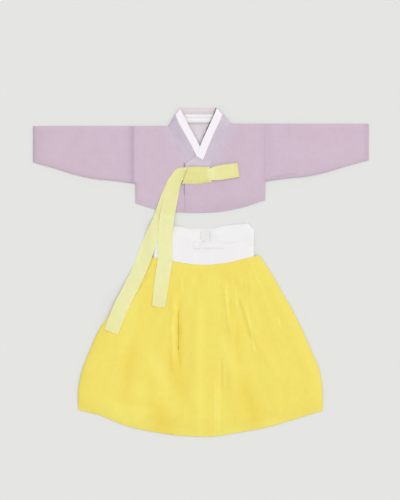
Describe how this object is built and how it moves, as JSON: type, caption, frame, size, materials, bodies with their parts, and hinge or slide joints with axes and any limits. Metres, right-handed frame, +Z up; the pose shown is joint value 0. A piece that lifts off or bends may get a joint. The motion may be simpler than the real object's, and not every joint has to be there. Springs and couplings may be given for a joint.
{
  "type": "korean hanbok",
  "caption": "Child's hanbok laid flat: short lilac jacket with white collar strip and a looped pale yellow tie, over a gathered yellow skirt with a white waistband.",
  "frame": {"origin": "centre of the bounding box in X and Y, on the flat surface that the set lies on", "axes": "+X along the sleeves to the viewer's right (the wearer's left), +Y from the skirt's hem to the neck, +Z up from the surface"},
  "size_m": [1.043, 1.0192, 0.022],
  "materials": {
    "lilac_silk": "fine plain weave with a soft sheen",
    "lilac_inside": "matt plain weave",
    "white_strip": "stiff smooth weave",
    "white_cotton": "matt plain weave",
    "yellow_silk": "fine plain weave with a soft sheen",
    "pale_yellow_ribbon": "sheer plain weave with a soft sheen"
  },
  "bodies": {
    "root": {"jeogori_back": "lilac_inside", "jeogori_front_right": "lilac_silk", "jeogori_front_left": "lilac_silk", "jeogori_gore_left": "lilac_silk", "jeogori_sleeve_right": "lilac_silk", "jeogori_sleeve_left": "lilac_silk", "collar_back": "lilac_inside", "collar_right": "lilac_silk", "collar_left": "lilac_silk", "dongjeong_right": "white_strip", "dongjeong_left": "white_strip", "neck_label": "white_cotton", "goreum_tail_long": "pale_yellow_ribbon", "goreum_tail_short": "pale_yellow_ribbon", "goreum_loop": "pale_yellow_ribbon", "goreum_knot": "pale_yellow_ribbon", "chima_front_right": "yellow_silk", "chima_front_left": "yellow_silk", "chima_back": "yellow_silk", "band_right": "white_cotton", "band_left": "white_cotton", "band_back": "white_cotton", "band_tab": "white_cotton"}
  },
  "joints": []
}
